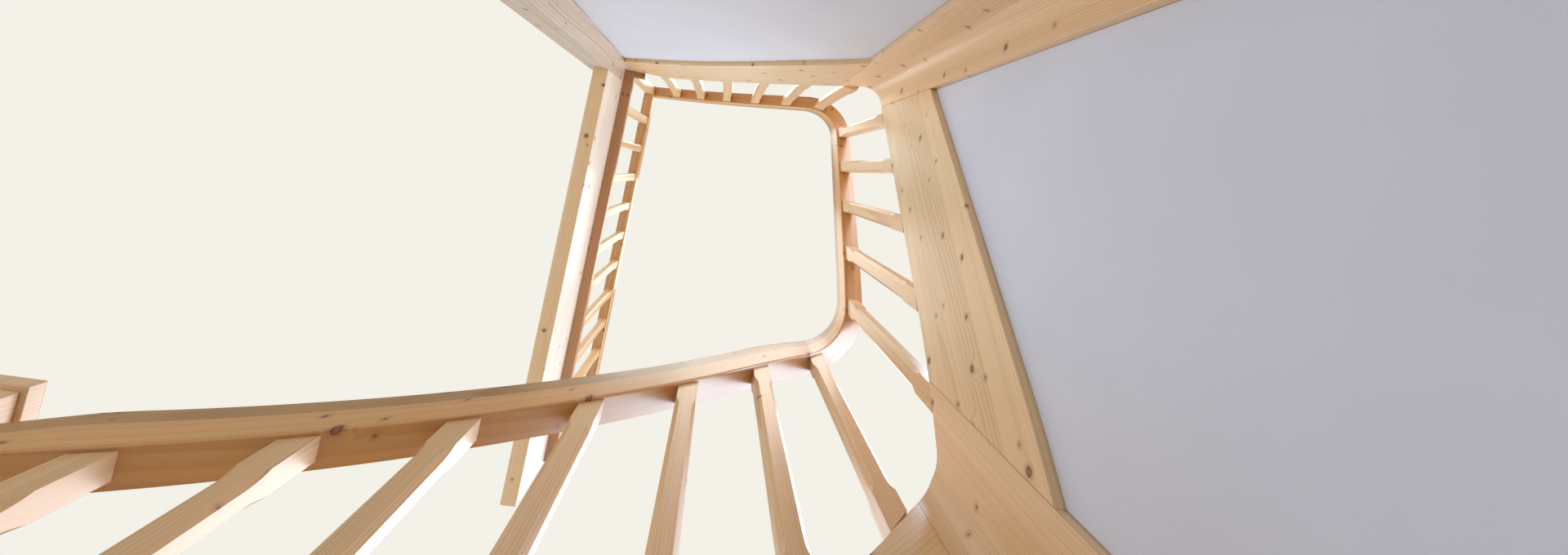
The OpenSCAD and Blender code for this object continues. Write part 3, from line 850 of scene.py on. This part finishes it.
# %% [markdown]
# ## Handrail
# The handrail is moulded from one section in two plies: a square lower ply and an upper one that
# leans back and is rounded over. A joiner carves its wreathed corners so that the section stays
# upright while the rail turns and climbs. Extruding the section's face one short step at a time
# does the same: each step moves it forward, turns it, lifts it and stretches it to the slope. The
# grain has to follow the rail too, so its coordinates come from the distance along the line.

# %% Handrail section
RAIL_W = 0.055
RAIL_H = 0.106
RAIL_LINE = 0.058
RAIL_IN = 0.007
ROUND = 0.012
EASE_WELL, EASE_BACK = 0.005, 0.002
LEAN = 0.004
NEAR = 0.001


def rail_face(name):
    """Draws the handrail's section as an upright face that looks along the first flight."""
    piece = start_from(bpy.ops.mesh.primitive_plane_add, name)
    bpy.ops.transform.rotate(value=pi / 2, orient_axis="Y", center_override=(0, 0, 0))
    bpy.ops.transform.resize(value=(1, RAIL_W, RAIL_H), center_override=(0, 0, 0))
    bpy.ops.transform.translate(value=(0, RAIL_W / 2, RAIL_H / 2))
    for height in (RAIL_LINE, RAIL_H - ROUND):
        bpy.ops.mesh.select_all(action="SELECT")
        bpy.ops.mesh.bisect(plane_co=(0, 0, height), plane_no=(0, 0, 1))
    pick(lambda c: c.z > RAIL_H - NEAR)
    # a little less than the round, so that it stops short of the line below it
    bpy.ops.mesh.bevel(offset=ROUND * 0.98, segments=5, affect="VERTICES")
    pick(lambda c: c.z < NEAR and c.y < NEAR)
    bpy.ops.mesh.bevel(offset=EASE_WELL, segments=3, affect="VERTICES")
    pick(lambda c: c.z < NEAR and c.y > RAIL_W - NEAR)
    bpy.ops.mesh.bevel(offset=EASE_BACK, segments=2, affect="VERTICES")
    pick(lambda c: c.z > RAIL_LINE + NEAR)
    slim = 1 - LEAN / RAIL_W
    bpy.ops.transform.resize(value=(1, slim, 1), center_override=(0, RAIL_W / 2, 0))
    bpy.ops.mesh.select_all(action="SELECT")
    bpy.ops.transform.translate(value=(0, -RAIL_IN, 0))
    return piece


def close_rail(piece):
    """Turns a swept rail's faces outwards and shades it."""
    bpy.ops.mesh.select_all(action="SELECT")
    bpy.ops.mesh.normals_make_consistent(inside=False)
    bpy.ops.object.mode_set(mode="OBJECT")
    smoothed(piece, MOULDED_SHARP)


# %% Handrail run
# the line in short steps, and how far out from the well's face the rail's middle lies
LINE_STEP, LINE_OFF = 0.003, 0.020
LINE = np.arange(S_NEWEL, S_THREE + 2 * HALF_X, LINE_STEP)
LINE_IN = np.array([rail_at(s, 0.0) for s in LINE])
LINE_OUT = np.array([rail_at(s, 1.0) for s in LINE]) - LINE_IN
LINE_LOW = np.array([rail_low(s) for s in LINE])
LINE_STRETCH = np.array([rail_stretch(s) for s in LINE])
LINE_LENGTH = np.concatenate([[0], np.cumsum(np.hypot(np.diff(LINE), np.diff(LINE_LOW)))])


def follow_rail(piece):
    """Writes grain that follows the handrail: along its line, up its section and through it."""
    places = spots(piece)
    axis = (LINE_IN + LINE_OFF * LINE_OUT)[:, :2]
    gaps = ((places[:, None, :2] - axis[None]) ** 2).sum(axis=2)
    nearest = gaps.argmin(axis=1)
    ahead = np.gradient(axis, LINE, axis=0)[nearest]
    step = places[:, :2] - axis[nearest]
    station = LINE[nearest] + (step * ahead).sum(axis=1) / (ahead**2).sum(axis=1)
    low = np.interp(station, LINE, LINE_LOW)
    up = (places[:, 2] - low) / np.interp(station, LINE, LINE_STRETCH)
    through = (step * LINE_OUT[nearest][:, :2]).sum(axis=1)
    along = np.interp(station, LINE, LINE_LENGTH)
    write_grain(piece, np.column_stack([along, up, through]))


def rail_run(name, first, last, step):
    """Sweeps the handrail's section from one station to another."""
    piece = rail_face(name)
    start = rail_at(first, 0)
    bpy.ops.transform.resize(value=(1, 1, rail_stretch(first)), center_override=(0, 0, 0))
    bpy.ops.transform.rotate(value=rail_turn(first), orient_axis="Z", center_override=(0, 0, 0))
    bpy.ops.transform.translate(value=(start.x, start.y, rail_low(first)))
    stations = np.linspace(first, last, ceil((last - first) / step) + 1)
    for a, b in zip(stations, stations[1:]):
        here, there = rail_at(a, 0), rail_at(b, 0)
        lift = rail_low(b) - rail_low(a)
        turn = rail_turn(b) - rail_turn(a)
        bpy.ops.mesh.extrude_region()
        bpy.ops.transform.rotate(value=turn, orient_axis="Z", center_override=here)
        bpy.ops.transform.translate(value=(there.x - here.x, there.y - here.y, lift))
        scale = rail_stretch(b) / rail_stretch(a)
        bpy.ops.transform.resize(value=(1, 1, scale), center_override=(0, 0, rail_low(b)))
    close_rail(piece)
    return piece


# %% Handrail lengths
WREATH_LEG = 0.040
WREATH_TAIL = 0.143
STRAIGHT_STEP = 0.030
TURN_STEP = 0.005
RAIL_JOINTS = [
    S_NEWEL + NEWEL_W / 2,
    -LEAD - WREATH_LEG,
    S_TWO + LEAD + WREATH_TAIL,
    S_TWO_END - LEAD - WREATH_LEG,
    S_THREE + LEAD + WREATH_LEG,
    S_THREE + 2 * HALF_X - POST_R - RAIL_IN,
]
RAIL_LENGTHS = ["lower", "wreath_lower", "middle", "wreath_upper", "upper"]
for part, first, last in zip(RAIL_LENGTHS, RAIL_JOINTS, RAIL_JOINTS[1:]):
    node = "handrail_" + part
    step = TURN_STEP if "wreath" in part else STRAIGHT_STEP
    piece = rail_run(node + ".moulded", first, last, step)
    follow_rail(piece)
    finish_piece(piece, "handrail", node)
    print(node, "has", len(piece.data.polygons), "faces")

# %% Gallery handrail
piece = rail_face("handrail_gallery.moulded")
bpy.ops.transform.rotate(value=-pi / 2, orient_axis="Z", center_override=(0, 0, 0))
GALLERY_X = -HALF_X - MID_X
GALLERY_GRAIN = 5
bpy.ops.transform.translate(value=(GALLERY_X, -HALF_Y - RAIL_W + RAIL_IN, STOREY + RAIL_UP))
run = (0, OUT_Y + HALF_Y + RAIL_W - RAIL_IN, 0)
bpy.ops.mesh.extrude_region_move(TRANSFORM_OT_translate={"value": run})
close_rail(piece)
local = spots(piece)
up = local[:, 2] - STOREY - RAIL_UP
along = local[:, 1] + GALLERY_GRAIN
write_grain(piece, np.column_stack([along, up, local[:, 0] + HALF_X + MID_X]))
finish_piece(piece, "handrail", "handrail_gallery")
print("gallery handrail from", [round(float(v), 4) for v in local.min(axis=0)])

# %% [markdown]
# ## Balusters
# Each baluster is a square stick whose four arrises are scooped away between two square blocks,
# with a spokeshave: the cut starts shallow, runs down in a long curve and comes out again. One
# stick is made with its four scoops. Each copy is then stretched to the height between string and
# handrail, sawn at both ends to the slopes that it meets, and put in its place.

# %% Pattern baluster
BALUSTER_W = 0.040
BALUSTER_D = 0.036
CHAMFER = 0.0075
STOP = 0.038
BLOCK = 0.072
PATTERN_H = 0.700
SPARE = 0.030
ARRIS = 0.0008
FLAT = ((BALUSTER_W + BALUSTER_D) / 2 - CHAMFER) / sqrt(2)

pattern = start_from(bpy.ops.mesh.primitive_cube_add, "pattern_baluster")
stick_size = (BALUSTER_W, BALUSTER_D, PATTERN_H + 2 * SPARE)
bpy.ops.transform.resize(value=stick_size, center_override=(0, 0, 0))
middle = Vector((0, BALUSTER_D / 2, PATTERN_H / 2))
bpy.ops.transform.translate(value=middle)
# an arris lies half way up, and off the middle both ways
pick(lambda c: min(abs(c.x), abs(c.y - middle.y)) > NEAR > abs(c.z - middle.z), "EDGE")
bpy.ops.mesh.bevel(offset=ARRIS, segments=2, affect="EDGES")
bpy.ops.object.mode_set(mode="OBJECT")
print("stick:", len(pattern.data.polygons), "faces")

# %% Scoops of the pattern baluster
scoop = start_from(bpy.ops.mesh.primitive_plane_add, "scoop")
bpy.ops.transform.rotate(value=pi / 2, orient_axis="X", center_override=(0, 0, 0))
scoop_size = (BALUSTER_W, 1, PATTERN_H - 2 * BLOCK - 2 * STOP)
bpy.ops.transform.resize(value=scoop_size, center_override=(0, 0, 0))
bpy.ops.transform.translate(value=(0, BALUSTER_D / 2 - FLAT, PATTERN_H / 2))
SCOOP_STEPS = 8
SCOOP_OUT = 0.02
for end in (-1, 1):
    pick(lambda c: end * (c.z - PATTERN_H / 2) > PATTERN_H / 2 - BLOCK - STOP - NEAR, "EDGE")
    for k in range(SCOOP_STEPS + 2):
        u, v = k / SCOOP_STEPS, (k + 1) / SCOOP_STEPS
        move = (0, -CHAMFER / sqrt(2) * (v * v - u * u), end * STOP / SCOOP_STEPS)
        bpy.ops.mesh.extrude_region_move(TRANSFORM_OT_translate={"value": move})
bpy.ops.mesh.select_all(action="SELECT")
bpy.ops.mesh.extrude_region_move(TRANSFORM_OT_translate={"value": (0, -SCOOP_OUT, 0)})
bpy.ops.mesh.select_all(action="SELECT")
bpy.ops.mesh.normals_make_consistent(inside=False)
turn = {"orient_axis": "Z", "center_override": (0, BALUSTER_D / 2, 0)}
bpy.ops.transform.rotate(value=pi / 4, **turn)
for _ in range(3):
    bpy.ops.mesh.duplicate()
    bpy.ops.transform.rotate(value=pi / 2, **turn)
bpy.ops.object.mode_set(mode="OBJECT")
only(pattern)
cut = pattern.modifiers.new("scoops", "BOOLEAN")
cut.operation = "DIFFERENCE"
cut.solver = "EXACT"
cut.object = scoop
bpy.ops.object.modifier_apply(modifier="scoops")
bpy.data.objects.remove(scoop)
print("scooped stick:", len(pattern.data.polygons), "faces")


# %% Baluster copies
STICK_APART = 0.004
SLOPE_REACH = 0.005


def baluster(number, height, foot_slope, head_slope, place, angle):
    """Copies the pattern, fits it between its two slopes and puts it in its place."""
    piece = pattern.copy()
    piece.data = pattern.data.copy()
    piece.name = f"baluster_{number:02d}"
    bpy.context.scene.collection.objects.link(piece)
    only(piece)
    bpy.ops.object.mode_set(mode="EDIT")
    pick(lambda c: c.z > PATTERN_H / 2)
    bpy.ops.transform.translate(value=(0, 0, height - PATTERN_H))
    ends = ((0, foot_slope, {"clear_inner": True}), (height, head_slope, {"clear_outer": True}))
    for z, slant, waste in ends:
        bpy.ops.mesh.select_all(action="SELECT")
        cut = {"plane_co": (0, 0, z), "plane_no": (-slant, 0, 1)}
        bpy.ops.mesh.bisect(**cut, **waste, use_fill=True)
    bpy.ops.object.mode_set(mode="OBJECT")
    smoothed(piece)
    offset = [number * BOARD_APART, number * BLOCK_W + BLOCK_W / 2, number * STICK_APART]
    write_grain(piece, spots(piece)[:, [2, 0, 1]] + offset)
    piece.data.transform(Matrix.Translation(place) @ Matrix.Rotation(angle, 4, "Z"))
    return piece


def slope(height, s):
    """Slope of a height along the line at a station."""
    return (height(s + SLOPE_REACH) - height(s - SLOPE_REACH)) / (2 * SLOPE_REACH)


# %% Flights of balusters
FIRST_GAP, LOWER_STEP = 0.050, 0.1685
MIDDLE_GAP = 0.065
UPPER_STEP = 0.1425
MIDDLE_A, MIDDLE_B = S_TWO + MIDDLE_GAP, S_TWO_END - MIDDLE_GAP
UPPER_A = S_THREE + BALUSTER_W / 2
ROWS = {
    "lower": ([-FIRST_GAP - LOWER_STEP * i for i in range(1, 7)], [-FIRST_GAP]),
    "middle": ([MIDDLE_A + (MIDDLE_B - MIDDLE_A) * i / 4 for i in (1, 2, 3)], [MIDDLE_A, MIDDLE_B]),
    "upper": ([UPPER_A + UPPER_STEP * i for i in range(1, 6)], [UPPER_A]),
}
number = 0
for row, (plain, at_corner) in ROWS.items():
    sticks = []
    for s in plain:
        number += 1
        foot = string_top(s) + FIT_GAP
        place = rail_at(s, 0) + Vector((0, 0, foot))
        height = rail_low(s) - FIT_GAP - foot
        slopes = slope(string_top, s), slope(rail_low, s)
        sticks.append(baluster(number, height, *slopes, place, -rail_turn(s)))
    # next to a rounded post the seats are curved, so those sticks keep the ends that the CAD cut
    for s in at_corner:
        number += 1
        spot = rail_at(s, BALUSTER_D / 2)
        stick = eased(
            "balusters_" + row, ARRIS, keep=lambda c: (c.xy - spot.xy).length < 1.5 * BALUSTER_W
        )
        ahead = (cos(rail_turn(s)), -sin(rail_turn(s)), 0)
        grain(stick, (0, 0, 1), ahead, start=number, shift=number * BLOCK_W + BLOCK_W / 2)
        sticks.append(stick)
    finish_piece(join(sticks, f"balusters_{row}.scooped"), "balusters", "balusters_" + row)
    print(row, "flight:", len(sticks), "balusters")

# %% Gallery balusters
GALLERY_STEP = 0.168
GALLERY_LEAD = 0.008
GALLERY_END = 0.060
sticks = []
y = -HALF_Y + GALLERY_STEP - GALLERY_LEAD
foot = CAP_Z + CAP_T + FIT_GAP
height = STOREY + RAIL_UP - FIT_GAP - foot
while y <= OUT_Y - GALLERY_END + 0.0001:
    number += 1
    sticks.append(baluster(number, height, 0, 0, Vector((GALLERY_X, y, foot)), pi / 2))
    y += GALLERY_STEP
finish_piece(join(sticks, "balusters_gallery.scooped"), "balusters", "balusters_gallery")
bpy.data.objects.remove(pattern)
print("gallery:", len(sticks), "balusters")

# %% [markdown]
# ## Panels
# Below the inner strings the well is closed with plasterboard on studs, filled and painted, set
# back from the strings' faces. Its corners are taped, so only a small softening of the edges
# shows.

# %% Panels
for part in ("lower", "middle", "upper"):
    piece = eased("panel_" + part)
    finish_piece(piece, "plaster", "panel_" + part)
print("panels done")

# %% [markdown]
# ## Floor and light
# The stair stands in soft daylight, brightest from above and from outside its flights, so square
# area lights stand there. The satin lacquer mirrors bright places at a low angle: that is what
# turns the far sides of the balusters, the handrail's underside and one band down the upper
# rounded post nearly white. A light named sheen is only mirrored, one named light only lights the
# stair, and one named fill does both. All else that the lacquer mirrors is a warm grey, darker than
# the pale backdrop.

# %% Floor
FLOOR_SIZE = 60
FLOOR_GAP = 0.001
bpy.ops.object.select_all(action="DESELECT")
bpy.ops.mesh.primitive_plane_add(size=FLOOR_SIZE, location=(0, 0, -FLOOR_GAP))
floor = bpy.context.object
floor.name = "floor"
# matt paint takes the shadow and mirrors next to nothing
paint, tree = blank("pale_floor_paint")
floor_paint = {"Base Color": linear("#E2E2E2"), "Roughness": 0.6}
fill(tree, tree.nodes["Principled BSDF"], floor_paint)
floor.data.materials.append(paint)
print("floor:", [round(side, 2) for side in floor.dimensions])


# %% Lights
def soft_light(name, place, target, size, watts, colour, lights=True, mirrored=True):
    """A square area light that faces a target, and lights the stair, is mirrored or does both."""
    source = bpy.data.lights.new(name, "AREA")
    source.size = size
    source.energy = watts
    source.color = linear(colour)[:3]
    holder = bpy.data.objects.new(name, source)
    bpy.context.scene.collection.objects.link(holder)
    holder.location = place
    holder.visible_camera = False
    holder.visible_diffuse = lights
    holder.visible_glossy = mirrored
    aim = Vector(target) - Vector(place)
    holder.rotation_euler = aim.to_track_quat("-Z", "Y").to_euler()


# place, target, size in metres, watts and colour
BOTH = {
    "side_fill": ((1.75, 0.1, 2.4), (0.0, 0.2, 2.0), 2.2, 34, "#F4F7FF"),
    "end_fill": ((0.9, -2.0, 2.7), (0.25, 0.0, 2.3), 1.6, 22, "#F8F8FF"),
}
LIGHT_ONLY = {
    "front_light": ((0.7, 2.0, 3.9), (-0.5, 0.3, 1.2), 1.0, 17, "#E4EEFF"),
    "top_light": ((-1.5, 0.4, 4.9), (0.0, -0.2, 1.5), 2.0, 34, "#FFF3E2"),
    "far_light": ((-5.0, 0.8, 2.2), (0.5, 0.0, 1.2), 3.0, 44, "#D6E3FF"),
}
MIRROR_ONLY = {
    "front_sheen": ((1.5, 2.4, 3.6), (-0.6, 0.3, 1.1), 3.4, 185, "#F4F7FF"),
    "corner_sheen": ((0.95, 0.75, 1.75), (0.1, 0.43, 1.8), 0.5, 7.0, "#C4E0FF"),
    "low_sheen": ((0.05, 0.62, 1.40), (-0.25, 0.44, 1.58), 0.4, 4.2, "#B8DCFF"),
    "wreath_sheen": ((0.50, 0.25, 1.80), (0.20, 0.40, 1.93), 0.35, 6.0, "#B8DCFF"),
    "upper_sheen": ((0.55, -0.95, 2.45), (0.24, 0.1, 2.2), 0.5, 4.2, "#E4F0FF"),
    "top_sheen": ((-0.40, 0.46, 3.95), (-0.40, 0.46, 0.0), 0.7, 3.0, "#FFFDF8"),
    "post_sheen": ((0.4, -1.3, 6.0), (0.0, 0.4, 1.7), 1.3, 24, "#FFFDF8"),
    "rail_sheen": ((-0.75, -0.9, 6.0), (-0.3, 0.4, 1.5), 1.1, 9.5, "#DCF4F2"),
}
for name, values in BOTH.items():
    soft_light(name, *values)
for name, values in LIGHT_ONLY.items():
    soft_light(name, *values, mirrored=False)
for name, values in MIRROR_ONLY.items():
    soft_light(name, *values, lights=False)
print("lights:", len(bpy.data.lights))

# %% World
world = bpy.data.worlds.new("studio")
bpy.context.scene.world = world
world.use_nodes = True
tree = world.node_tree
node = partial(add, tree)
path = node("LightPath")
# the camera sees the pale backdrop, while the lacquer mirrors a warm grey
seen = {6: linear("#E9EBF0"), 7: linear("#A59C8A")}
shade = node("Mix", {0: path["Is Glossy Ray"], **seen}, data_type="RGBA")[2]
seen = {6: shade, 7: linear("#F3F1E8")}
shade = node("Mix", {0: path["Is Camera Ray"], **seen}, data_type="RGBA")[2]
fill(tree, tree.nodes["Background"], {"Color": shade, "Strength": 1.0})
bpy.context.scene.view_settings.view_transform = "Standard"
print("world set")
